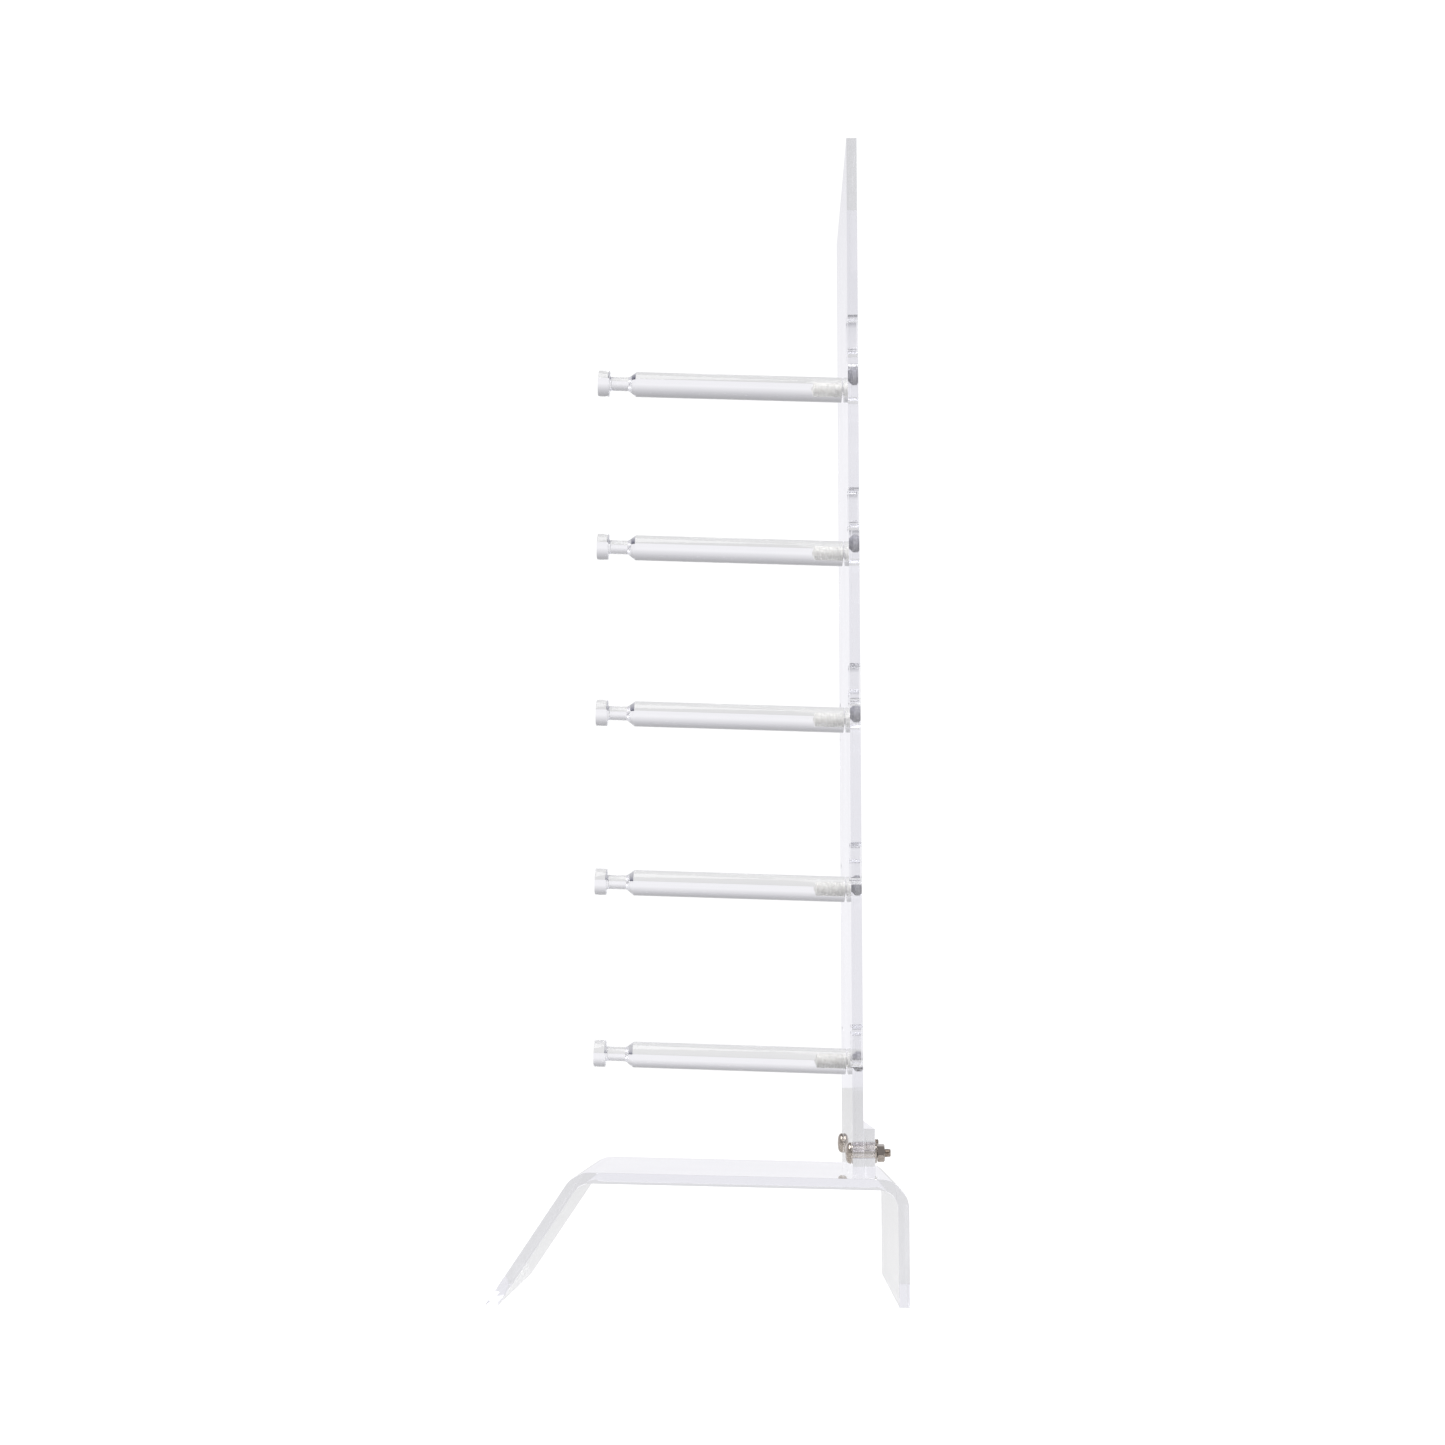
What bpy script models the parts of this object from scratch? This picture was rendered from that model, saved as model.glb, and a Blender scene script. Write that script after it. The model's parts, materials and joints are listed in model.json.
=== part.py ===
"""Counter display rack for five pairs of eyeglasses, in clear sheet and rod acrylic.

A bent sheet base carries an upright mounting tab.  A tall back panel is bolted to the
front of the tab.  Five grooved nose rods stand out of the panel, each held by a
countersunk screw from behind, and a pair of slots beside every rod lets the temples
pass through the panel.

Units are metres.  +Z is up, the rods point to -Y and X = 0 is the plane of symmetry.
The pieces are drawn with Y = 0 on the front face of the back panel, then moved back
together so that Y = 0 is the middle of the base's depth.
"""

import math

import bmesh
import bpy
from mathutils import Matrix, Vector

MM = 0.001
GAP = 0.3 * MM

# --- sheet stock -------------------------------------------------------------------
SHEET = 4.7 * MM
EDGE_BREAK = 0.35 * MM
BEND_INNER = 8.0 * MM
BEND_OUTER = BEND_INNER + SHEET
BEND_STEPS = 10

# --- bent base -----------------------------------------------------------------------
BASE_WIDTH = 165.0 * MM
PLATE_TOP = 54.4 * MM
PLATE_SLOPE = math.radians(1.3)
BACK_FACE = 24.0 * MM
FRONT_TOE = -159.0 * MM
FRONT_LEG_ANGLE = math.radians(56.0)

# --- back panel ------------------------------------------------------------------------
PANEL_FRONT = 67.4 * MM
PANEL_WIDTH = 155.0 * MM
TOTAL_HEIGHT = 521.5 * MM
PANEL_BOTTOM = PLATE_TOP + GAP
PANEL_BACK = SHEET

# --- mounting tab ----------------------------------------------------------------------
TAB_TOP = 75.5 * MM
TAB_FRONT = PANEL_BACK + GAP
TAB_BACK = TAB_FRONT + SHEET
TAB_BOTTOM = PLATE_TOP - TAB_FRONT * math.tan(PLATE_SLOPE) + GAP

# --- temple slots ----------------------------------------------------------------------
SLOT_CENTRE_X = 64.0 * MM
SLOT_WIDTH = 14.0 * MM
SLOT_BOTTOM = -2.0 * MM
SLOT_TOP = 16.6 * MM
SLOT_CORNER = 3.0 * MM
SLOT_CORNER_STEPS = 4

# --- nose rods -------------------------------------------------------------------------
ROD_COUNT = 5
ROD_PITCH = 80.0 * MM
ROD_LOWEST_Z = 104.0 * MM
ROD_TILT = math.radians(1.9)
ROD_LENGTH = 117.0 * MM
ROD_RADIUS = 6.0 * MM
ROD_SIDES = 32
DISC_RADIUS = 6.2 * MM
DISC_LENGTH = 5.5 * MM
NECK_RADIUS = 3.3 * MM
NECK_LENGTH = 9.5 * MM
NECK_FLARE = 3.0 * MM
ROD_EDGE = 0.4 * MM
TAPPED_RADIUS = 2.3 * MM
TAPPED_DEPTH = 15.0 * MM
TAPPED_CONE = 1.3 * MM

# --- rod screws (M4 countersunk, clear) ----------------------------------------------------
SCREW_SIDES = 24
SCREW_RADIUS = 2.0 * MM
SCREW_REACH = 11.0 * MM
SCREW_HEAD_RADIUS = 3.9 * MM
SCREW_HEAD_CONE = 1.9 * MM
SCREW_HEAD_RIM = 0.3 * MM
SCREW_TIP = 0.5 * MM
SCREW_INSET = 0.35 * MM
SCREW_SLOT_WIDTH = 1.0 * MM
SCREW_SLOT_DEPTH = 1.0 * MM
SCREW_HOLE_RADIUS = 2.4 * MM

# --- panel bolts, washers and nuts (M4) ------------------------------------------------------
BOLT_X = 60.0 * MM
BOLT_Z = 64.5 * MM
BOLT_SIDES = 32
BOLT_RADIUS = 2.0 * MM
BOLT_HOLE_RADIUS = BOLT_RADIUS + GAP
BOLT_HEAD_RADIUS = 4.7 * MM
BOLT_HEAD_HEIGHT = 2.3 * MM
BOLT_HEAD_RIM = 0.6 * MM
BOLT_HEAD_STEPS = 5
BOLT_HEAD_FLAT = 1.6 * MM
BOLT_TIP = 0.5 * MM
BOLT_END_BEYOND_NUT = 2.7 * MM
CROSS_LENGTH = 3.6 * MM
CROSS_WIDTH = 0.8 * MM
CROSS_DEPTH = 1.3 * MM
WASHER_RADIUS = 4.5 * MM
WASHER_HOLE = 2.35 * MM
WASHER_THICKNESS = 1.0 * MM
NUT_ACROSS_FLATS = 7.0 * MM
NUT_TURN = math.radians(12.0)
NUT_HEIGHT = 3.2 * MM
NUT_BORE = 2.3 * MM
NUT_BORE_SIDES = 24
NUT_BORE_CHAMFER = 0.3 * MM
NUT_CORNER_CHAMFER = 0.35 * MM


def clear_scene():
    """Remove every object left over in the file."""
    for obj in list(bpy.data.objects):
        bpy.data.objects.remove(obj, do_unlink=True)


def make_material(name, color, metallic, roughness, alpha=1.0):
    """One Principled material."""
    mat = bpy.data.materials.new(name)
    mat.use_nodes = True
    shader = mat.node_tree.nodes["Principled BSDF"]
    shader.inputs["Base Color"].default_value = (*color, 1.0)
    shader.inputs["Metallic"].default_value = metallic
    shader.inputs["Roughness"].default_value = roughness
    shader.inputs["Alpha"].default_value = alpha
    return mat


def mesh_object(name, mesh_bm, material):
    """Turn a bmesh into a linked object with outward faces."""
    bmesh.ops.recalc_face_normals(mesh_bm, faces=mesh_bm.faces)
    mesh = bpy.data.meshes.new(name)
    mesh_bm.to_mesh(mesh)
    mesh_bm.free()
    obj = bpy.data.objects.new(name, mesh)
    bpy.context.collection.objects.link(obj)
    if material is not None:
        mesh.materials.append(material)
    return obj


def make_cutter(obj):
    """Mark an object as a cutting tool."""
    obj.hide_render = True
    obj.display_type = "WIRE"
    return obj


def subtract(target, cutters):
    """Cut every cutter out of the target with the exact solver, then drop the cutters."""
    for cutter in cutters:
        make_cutter(cutter)
        mod = target.modifiers.new("cut", "BOOLEAN")
        mod.operation = "DIFFERENCE"
        mod.solver = "EXACT"
        mod.object = cutter
    depsgraph = bpy.context.evaluated_depsgraph_get()
    cut_mesh = bpy.data.meshes.new_from_object(target.evaluated_get(depsgraph))
    target.modifiers.clear()
    target.data = cut_mesh
    cut_mesh.name = target.name
    for cutter in cutters:
        bpy.data.objects.remove(cutter, do_unlink=True)


def break_edges(obj, width):
    """Chamfer every sharp edge by a small amount."""
    mod = obj.modifiers.new("edge_break", "BEVEL")
    mod.width = width
    mod.segments = 1
    mod.limit_method = "ANGLE"
    mod.angle_limit = math.radians(40.0)
    depsgraph = bpy.context.evaluated_depsgraph_get()
    bevelled = bpy.data.meshes.new_from_object(obj.evaluated_get(depsgraph))
    obj.modifiers.clear()
    obj.data = bevelled
    bevelled.name = obj.name


def set_origin(obj, point):
    """Move the object's origin to a point given in the mesh's present coordinates."""
    obj.data.transform(Matrix.Translation(-point))
    obj.location = point


def shade_round(obj):
    """Smooth shading with sharp edges kept."""
    obj.data.shade_smooth()
    obj.data.set_sharp_from_angle(angle=math.radians(35.0))


def prism_x(name, outline, width, material):
    """Extrude a closed YZ outline symmetrically along X."""
    bm = bmesh.new()
    left = [bm.verts.new((-width / 2, y, z)) for y, z in outline]
    right = [bm.verts.new((width / 2, y, z)) for y, z in outline]
    count = len(outline)
    bm.faces.new(left)
    bm.faces.new(right)
    for i in range(count):
        j = (i + 1) % count
        bm.faces.new((left[i], left[j], right[j], right[i]))
    return mesh_object(name, bm, material)


def prism_y(name, outline, y0, y1, material):
    """Extrude a closed XZ outline from y0 to y1."""
    bm = bmesh.new()
    front = [bm.verts.new((x, y0, z)) for x, z in outline]
    back = [bm.verts.new((x, y1, z)) for x, z in outline]
    count = len(outline)
    bm.faces.new(front)
    bm.faces.new(back)
    for i in range(count):
        j = (i + 1) % count
        bm.faces.new((front[i], front[j], back[j], back[i]))
    return mesh_object(name, bm, material)


def lathe(name, profile, sides, material):
    """Revolve a closed (radius, height) profile about local Z.

    Points on the axis are shared by every side; the profile runs along the outside
    and back along the bore when the piece is hollow.
    """
    bm = bmesh.new()
    rings = []
    for radius, height in profile:
        if radius == 0.0:
            rings.append([bm.verts.new((0.0, 0.0, height))])
            continue
        ring = []
        for k in range(sides):
            angle = 2 * math.pi * k / sides
            ring.append(bm.verts.new((radius * math.cos(angle), radius * math.sin(angle), height)))
        rings.append(ring)
    pairs = list(zip(rings, rings[1:]))
    if len(rings[0]) > 1:
        pairs.append((rings[-1], rings[0]))
    for low, high in pairs:
        for k in range(sides):
            n = (k + 1) % sides
            corners = [low[k % len(low)], low[n % len(low)], high[n % len(high)], high[k % len(high)]]
            bm.faces.new(list(dict.fromkeys(corners)))
    return mesh_object(name, bm, material)


def box(name, low, high):
    """An axis-aligned block between two corners."""
    outline = [(low[0], low[2]), (high[0], low[2]), (high[0], high[2]), (low[0], high[2])]
    return prism_y(name, outline, low[1], high[1], None)


def arc(centre, radius, start, end, steps):
    """Points on a circular arc in a plane, both ends included."""
    points = []
    for k in range(steps + 1):
        angle = start + (end - start) * k / steps
        points.append((centre[0] + radius * math.cos(angle), centre[1] + radius * math.sin(angle)))
    return points


def rounded_rectangle(x0, x1, z0, z1, radius, steps):
    """Outline of a rectangle with rounded corners."""
    quarter = math.pi / 2
    points = []
    points += arc((x1 - radius, z1 - radius), radius, 0.0, quarter, steps)
    points += arc((x0 + radius, z1 - radius), radius, quarter, 2 * quarter, steps)
    points += arc((x0 + radius, z0 + radius), radius, 2 * quarter, 3 * quarter, steps)
    points += arc((x1 - radius, z0 + radius), radius, 3 * quarter, 4 * quarter, steps)
    return points


def rod_axis(index):
    """Point where the rod's axis meets the front of the panel, and the axis direction."""
    anchor = Vector((0.0, 0.0, ROD_LOWEST_Z + index * ROD_PITCH))
    direction = Vector((0.0, -math.cos(ROD_TILT), math.sin(ROD_TILT)))
    return anchor, direction


def along_axis(anchor, direction):
    """Matrix that lays local Z along a direction through the anchor."""
    return Matrix.Translation(anchor) @ direction.to_track_quat("Z", "Y").to_matrix().to_4x4()


def place(obj, matrix, origin):
    """Bake a matrix into the mesh, then put the origin on a point of the axis."""
    obj.data.transform(matrix)
    set_origin(obj, origin)
    shade_round(obj)


def plate_height(y):
    """Height of the plate's upper face, which falls slightly towards the back."""
    return PLATE_TOP - y * math.tan(PLATE_SLOPE)


def bend_centres():
    """Centres of the front and back bends in the YZ plane."""
    sine = math.sin(PLATE_SLOPE)
    cosine = math.cos(PLATE_SLOPE)
    leg_sine = math.sin(FRONT_LEG_ANGLE)
    leg_cosine = math.cos(FRONT_LEG_ANGLE)
    plate_side = PLATE_TOP * cosine - BEND_OUTER
    leg_side = -FRONT_TOE * leg_sine - BEND_OUTER
    spread = sine * leg_cosine + cosine * leg_sine
    front_y = (plate_side * leg_cosine - leg_side * cosine) / spread
    front_z = (plate_side * leg_sine + leg_side * sine) / spread
    back_y = BACK_FACE - BEND_OUTER
    back_z = plate_height(back_y) - BEND_OUTER / cosine
    return (front_y, front_z), (back_y, back_z)


def base_outline():
    """YZ outline of the bent sheet, walked round the outside and back along the inside."""
    front_centre, back_centre = bend_centres()
    start = math.pi / 2 + FRONT_LEG_ANGLE
    top = math.pi / 2 - PLATE_SLOPE
    points = [(FRONT_TOE, 0.0)]
    points += arc(front_centre, BEND_OUTER, start, top, BEND_STEPS)
    points += arc(back_centre, BEND_OUTER, top, 0.0, BEND_STEPS)
    points += [(BACK_FACE, 0.0), (BACK_FACE - SHEET, 0.0)]
    points += arc(back_centre, BEND_INNER, 0.0, top, BEND_STEPS)
    points += arc(front_centre, BEND_INNER, top, start, BEND_STEPS)
    points.append((FRONT_TOE + SHEET / math.sin(FRONT_LEG_ANGLE), 0.0))
    return points


def build_base(material):
    """Bent sheet with a sloping front leg and an upright back leg."""
    base = prism_x("base", base_outline(), BASE_WIDTH, material)
    break_edges(base, EDGE_BREAK)
    shade_round(base)


def bolt_hole_cutters(y0, y1):
    """Plain cylinders along Y at both bolt positions."""
    cutters = []
    for side in (-1, 1):
        centre = (side * BOLT_X, BOLT_Z)
        outline = arc(centre, BOLT_HOLE_RADIUS, 0.0, 2 * math.pi, BOLT_SIDES)[:-1]
        cutters.append(prism_y("cut_bolt", outline, y0 - GAP, y1 + GAP, None))
    return cutters


def build_tab(material):
    """Upright strip welded to the base behind the panel."""
    half = PANEL_WIDTH / 2
    low = (-half, TAB_FRONT, TAB_BOTTOM)
    high = (half, TAB_BACK, TAB_TOP)
    tab = box("mounting_tab", low, high)
    tab.data.materials.append(material)
    break_edges(tab, EDGE_BREAK)
    subtract(tab, bolt_hole_cutters(TAB_FRONT, TAB_BACK))
    shade_round(tab)


def slot_cutters():
    """Rounded through-slots for the temples, one pair per rod."""
    cutters = []
    for index in range(ROD_COUNT):
        anchor, _ = rod_axis(index)
        for side in (-1, 1):
            x0 = side * SLOT_CENTRE_X - SLOT_WIDTH / 2
            x1 = side * SLOT_CENTRE_X + SLOT_WIDTH / 2
            z0 = anchor.z + SLOT_BOTTOM
            z1 = anchor.z + SLOT_TOP
            outline = rounded_rectangle(x0, x1, z0, z1, SLOT_CORNER, SLOT_CORNER_STEPS)
            cutters.append(prism_y("cut_slot", outline, -SHEET, PANEL_BACK + SHEET, None))
    return cutters


def screw_depths():
    """Distances along a rod's axis of the head face and the countersink, behind the front face."""
    head_face = -(PANEL_BACK - SCREW_INSET) / math.cos(ROD_TILT)
    cone_end = head_face + SCREW_HEAD_RIM + SCREW_HEAD_CONE
    return head_face, cone_end


def screw_hole_cutters():
    """Countersunk clearance holes on the rods' axes."""
    head_face, cone_end = screw_depths()
    wide = SCREW_HEAD_RADIUS + GAP
    profile = [
        (0.0, head_face - SHEET),
        (wide, head_face - SHEET),
        (wide, head_face + SCREW_HEAD_RIM + GAP),
        (SCREW_HOLE_RADIUS, cone_end + GAP),
        (SCREW_HOLE_RADIUS, SHEET),
        (0.0, SHEET),
    ]
    cutters = []
    for index in range(ROD_COUNT):
        anchor, direction = rod_axis(index)
        cutter = lathe("cut_screw", profile, SCREW_SIDES, None)
        cutter.data.transform(along_axis(anchor, direction))
        cutters.append(cutter)
    return cutters


def build_panel(material):
    """Tall back panel with temple slots, countersunk screw holes and bolt holes."""
    half = PANEL_WIDTH / 2
    panel = box("back_panel", (-half, 0.0, PANEL_BOTTOM), (half, PANEL_BACK, TOTAL_HEIGHT))
    panel.data.materials.append(material)
    break_edges(panel, EDGE_BREAK)
    cutters = slot_cutters() + screw_hole_cutters() + bolt_hole_cutters(0.0, PANEL_BACK)
    subtract(panel, cutters)
    shade_round(panel)


def rod_profile():
    """Closed half-section of a nose rod from its rear face to the front disc."""
    rear = GAP + ROD_RADIUS * math.tan(ROD_TILT)
    end = rear + ROD_LENGTH
    disc = end - DISC_LENGTH
    neck = disc - NECK_LENGTH
    return [
        (0.0, rear + TAPPED_DEPTH),
        (TAPPED_RADIUS, rear + TAPPED_DEPTH - TAPPED_CONE),
        (TAPPED_RADIUS, rear),
        (ROD_RADIUS - ROD_EDGE, rear),
        (ROD_RADIUS, rear + ROD_EDGE),
        (ROD_RADIUS, neck - NECK_FLARE),
        (ROD_RADIUS - ROD_EDGE, neck - NECK_FLARE + ROD_EDGE),
        (NECK_RADIUS, neck),
        (NECK_RADIUS, disc),
        (DISC_RADIUS - ROD_EDGE, disc),
        (DISC_RADIUS, disc + ROD_EDGE),
        (DISC_RADIUS, end - ROD_EDGE),
        (DISC_RADIUS - ROD_EDGE, end),
        (0.0, end),
    ]


def build_rods(material):
    """Five nose rods, numbered from the bottom."""
    for index in range(ROD_COUNT):
        anchor, direction = rod_axis(index)
        rod = lathe(f"nose_rod_{index + 1}", rod_profile(), ROD_SIDES, material)
        place(rod, along_axis(anchor, direction), anchor)


def screw_profile():
    """Closed half-section of a countersunk screw, head face first."""
    head_face, cone_end = screw_depths()
    tip = GAP + SCREW_REACH
    return [
        (0.0, head_face),
        (SCREW_HEAD_RADIUS, head_face),
        (SCREW_HEAD_RADIUS, head_face + SCREW_HEAD_RIM),
        (SCREW_RADIUS, cone_end),
        (SCREW_RADIUS, tip - SCREW_TIP),
        (SCREW_RADIUS - SCREW_TIP, tip),
        (0.0, tip),
    ]


def build_rod_screws(material):
    """Slotted countersunk screws from behind the panel into the rods."""
    head_face, _ = screw_depths()
    reach = SCREW_HEAD_RADIUS + GAP
    half = SCREW_SLOT_WIDTH / 2
    for index in range(ROD_COUNT):
        anchor, direction = rod_axis(index)
        screw = lathe(f"rod_screw_{index + 1}", screw_profile(), SCREW_SIDES, material)
        low = (-reach, -half, head_face - GAP)
        slot = box("cut_drive", low, (reach, half, head_face + SCREW_SLOT_DEPTH))
        subtract(screw, [slot])
        place(screw, along_axis(anchor, direction), anchor)


def bolt_profile():
    """Closed half-section of a truss-head bolt, head top first, shank along local +Z."""
    head_back = -GAP
    head_top = head_back - BOLT_HEAD_HEIGHT
    rim_top = head_back - BOLT_HEAD_RIM
    points = [(0.0, head_top), (BOLT_HEAD_FLAT, head_top)]
    for k in range(1, BOLT_HEAD_STEPS):
        angle = math.pi / 2 * k / BOLT_HEAD_STEPS
        radius = BOLT_HEAD_FLAT + (BOLT_HEAD_RADIUS - BOLT_HEAD_FLAT) * math.sin(angle)
        height = rim_top - (BOLT_HEAD_HEIGHT - BOLT_HEAD_RIM) * math.cos(angle)
        points.append((radius, height))
    tip = nut_front() + NUT_HEIGHT + BOLT_END_BEYOND_NUT
    points += [
        (BOLT_HEAD_RADIUS, rim_top),
        (BOLT_HEAD_RADIUS, head_back),
        (BOLT_RADIUS, head_back),
        (BOLT_RADIUS, tip - BOLT_TIP),
        (BOLT_RADIUS - BOLT_TIP, tip),
        (0.0, tip),
    ]
    return points


def washer_front():
    """Y of the washer's front face."""
    return TAB_BACK + GAP


def nut_front():
    """Y of the nut's front face."""
    return washer_front() + WASHER_THICKNESS + GAP


def cross_cutters(top):
    """Two crossed blocks that sink the driver recess into a head."""
    long_half = CROSS_LENGTH / 2
    short_half = CROSS_WIDTH / 2
    bottom = top + CROSS_DEPTH
    first = box("cut_cross", (-long_half, -short_half, top - GAP), (long_half, short_half, bottom))
    second = box("cut_cross", (-short_half, -long_half, top - GAP), (short_half, long_half, bottom))
    return [first, second]


def ring_profile(inner, outer, low, high):
    """Closed half-section of a plain ring."""
    return [(inner, low), (outer, low), (outer, high), (inner, high)]


def build_nut(name, matrix, origin, material):
    """Hexagon nut with chamfered corners and a chamfered bore."""
    low = nut_front()
    high = low + NUT_HEIGHT
    corner = NUT_ACROSS_FLATS / math.sqrt(3.0)
    cut = NUT_CORNER_CHAMFER
    body = [(0.0, low), (corner - cut, low), (corner, low + cut), (corner, high - cut), (corner - cut, high)]
    nut = lathe(name, body + [(0.0, high)], 6, material)
    wide = NUT_BORE + NUT_BORE_CHAMFER
    bore = [
        (0.0, low - GAP),
        (wide + GAP, low - GAP),
        (NUT_BORE, low + NUT_BORE_CHAMFER),
        (NUT_BORE, high - NUT_BORE_CHAMFER),
        (wide + GAP, high + GAP),
        (0.0, high + GAP),
    ]
    subtract(nut, [lathe("cut_bore", bore, NUT_BORE_SIDES, None)])
    place(nut, matrix @ Matrix.Rotation(NUT_TURN, 4, "Z"), origin)


def build_fasteners(material):
    """Bolt, washer and nut on each side of the tab."""
    backward = Vector((0.0, 1.0, 0.0))
    for side, label in ((-1, "left"), (1, "right")):
        anchor = Vector((side * BOLT_X, 0.0, BOLT_Z))
        matrix = along_axis(anchor, backward)
        bolt = lathe(f"panel_bolt_{label}", bolt_profile(), BOLT_SIDES, material)
        subtract(bolt, cross_cutters(-GAP - BOLT_HEAD_HEIGHT))
        place(bolt, matrix, anchor)
        low = washer_front()
        section = ring_profile(WASHER_HOLE, WASHER_RADIUS, low, low + WASHER_THICKNESS)
        washer = lathe(f"panel_washer_{label}", section, BOLT_SIDES, material)
        place(washer, matrix, anchor + backward * low)
        build_nut(f"panel_nut_{label}", matrix, anchor + backward * nut_front(), material)


def main():
    """Build every piece in place."""
    clear_scene()
    sheet = make_material("clear_sheet", (0.86, 0.88, 0.93), 0.0, 0.05, 0.35)
    rod = make_material("clear_rod", (0.85, 0.86, 0.90), 0.0, 0.08, 0.45)
    screw = make_material("clear_screw", (0.88, 0.89, 0.92), 0.0, 0.2, 0.5)
    nickel = make_material("nickel_plate", (0.42, 0.36, 0.30), 1.0, 0.25)
    build_base(sheet)
    build_tab(sheet)
    build_panel(sheet)
    build_rods(rod)
    build_rod_screws(screw)
    build_fasteners(nickel)
    for obj in bpy.data.objects:
        obj.location.y += PANEL_FRONT


main()
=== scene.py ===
"""Looks for the clear acrylic eyeglass rack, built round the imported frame.

Units are metres.  +Z is up, the nose rods point to -Y and X = 0 is the plane of symmetry.
"""

import json
import math

import bmesh
import bpy
from mathutils import Matrix, Vector


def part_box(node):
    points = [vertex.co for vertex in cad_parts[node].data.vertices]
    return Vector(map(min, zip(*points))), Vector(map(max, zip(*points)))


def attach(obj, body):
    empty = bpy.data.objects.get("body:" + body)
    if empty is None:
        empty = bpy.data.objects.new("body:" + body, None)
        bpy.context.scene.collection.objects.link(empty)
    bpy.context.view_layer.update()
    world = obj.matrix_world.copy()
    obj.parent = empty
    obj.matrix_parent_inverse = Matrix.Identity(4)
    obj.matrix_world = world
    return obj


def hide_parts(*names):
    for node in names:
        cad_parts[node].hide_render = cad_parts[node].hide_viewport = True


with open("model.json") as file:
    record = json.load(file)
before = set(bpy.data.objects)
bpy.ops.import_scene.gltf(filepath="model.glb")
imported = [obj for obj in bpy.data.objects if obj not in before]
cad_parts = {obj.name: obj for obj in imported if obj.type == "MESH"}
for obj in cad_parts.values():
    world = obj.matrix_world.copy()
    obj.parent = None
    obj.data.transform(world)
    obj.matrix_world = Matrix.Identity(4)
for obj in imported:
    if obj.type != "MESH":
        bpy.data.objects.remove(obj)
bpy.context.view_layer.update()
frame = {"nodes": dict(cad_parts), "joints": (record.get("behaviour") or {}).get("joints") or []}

MM = 0.001
CAD_GAP = 0.3 * MM
FULL_TURN = 2 * math.pi
QUARTER = math.pi / 2

# --- camera and stage -----------------------------------------------------------------
CAMERA_AT = Vector((1.1926, 0.02925, 0.1102))
CAMERA_FORWARD = Vector((-0.99175, -0.01623, 0.12713))
CAMERA_LENS = 63.3
SENSOR = 36.0
FLOOR_HALF = 6.0
AROUND_STOPS = (
    (0.0, (0.50, 0.50, 0.51)),
    (0.50, (0.74, 0.735, 0.755)),
    (0.84, (0.84, 0.835, 0.865)),
    (0.93, (0.92, 0.915, 0.95)),
)
OVERHEAD_STOPS = (
    (0.0, (0.42, 0.42, 0.43)),
    (0.22, (0.66, 0.66, 0.67)),
    (0.38, (1.0, 1.0, 1.0)),
)
BACKDROP_WHITE = 1.05
FLOOR_DROP = 0.1 * MM
FLOOR_SHADES = ((0.3, (0.21, 0.21, 0.21)), (0.7, (0.23, 0.23, 0.23)))
FLOOR_GLOW = (0.62, 1.02)
LIGHT_TARGET = Vector((0.0, 0.0, 0.22))
# Each softbox: name, place, side length, power, colour.
SOFTBOXES = (
    ("softbox_top", Vector((0.5, -0.5, 1.5)), 1.2, 14.0, (1.0, 1.0, 1.0)),
    ("softbox_side", Vector((0.9, 1.2, 0.9)), 0.8, 5.0, (1.0, 0.99, 0.97)),
)

# --- finishes: a grain is a noise's (scale, detail), shades are a ramp's (position, colour) stops ---
WHITE = (1.0, 1.0, 1.0)
EVEN = (1.0, 1.0, 1.0)
FLOOR_GRAIN = (3.0, 2.0)
FLOOR_ROUGHNESS = 0.8
FLOOR_SHEEN = 0.2

ACRYLIC_IOR = 1.49
BOLT_HOLE_IOR = 1.0  # the bolt fills its hole, so the hole's wall doesn't bend light
BODY_TINT = (0.50, 0.50, 0.60)
BODY_DENSITY = 1.3
LAMP_TINT = (0.955, 0.957, 0.965)
TRAPPED_BOUNCES = 4.0  # inner reflections after which a ray counts as caught
# Painted glow: emission colour standing in for room light on rays caught inside the acrylic.
PAINTED_TRAPPED_GLOW = (0.76, 0.76, 0.80)
CLEAR_SHADES = ((0.3, (0.985, 0.985, 0.99)), (0.7, WHITE))
CLEAR_GRAIN = (38.0, 3.0)
SMEAR_GRAIN = (90.0, 5.0)
SMEAR_STRETCH = (1.0, 1.0, 0.25)
RIPPLE_GRAIN = (14.0, 1.0)
RIPPLE_HEIGHT = 1.0 * MM
CUTTING_GRAIN = (900.0, 2.0)
CUTTING_HEIGHT = 0.05 * MM
EDGE_STRETCH = (1.0, 0.03, 1.0)
TURNED_STRETCH = (0.3, 0.3, 4.0)

CHALKY_SHADES = ((0.3, (0.93, 0.92, 0.88)), (0.7, (0.97, 0.965, 0.94)))
CHALKY_GRAIN = (700.0, 4.0)
CHALKY_SPECKS = (1400.0, 3.0)
CHALKY_ROUGHNESS = (0.40, 0.60)
CRUSHED_GRAIN = (2400.0, 2.0)
CRUSHED_HEIGHT = 0.05 * MM
CRUSHED_STRENGTH = 0.4

NICKEL_SHADES = ((0.25, (0.40, 0.35, 0.305)), (0.55, (0.50, 0.445, 0.395)), (0.85, (0.60, 0.545, 0.49)))
# Painted highlight: a much lighter copy of the same nickel for the bolts' plain shanks, so they read
# bright through the holes.
SHANK_LIT_SHADES = ((0.25, (0.82, 0.76, 0.69)), (0.85, (0.96, 0.92, 0.86)))
NICKEL_GRAIN = (420.0, 4.0)
ROLLING_GRAIN = (1500.0, 3.0)
ROLLING_STRETCH = (1.0, 1.0, 6.0)
NICKEL_ROUGHNESS = (0.05, 0.14)
PIT_GRAIN = (2600.0, 2.0)
PIT_HEIGHT = 0.01 * MM
PIT_STRENGTH = 0.12

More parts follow.
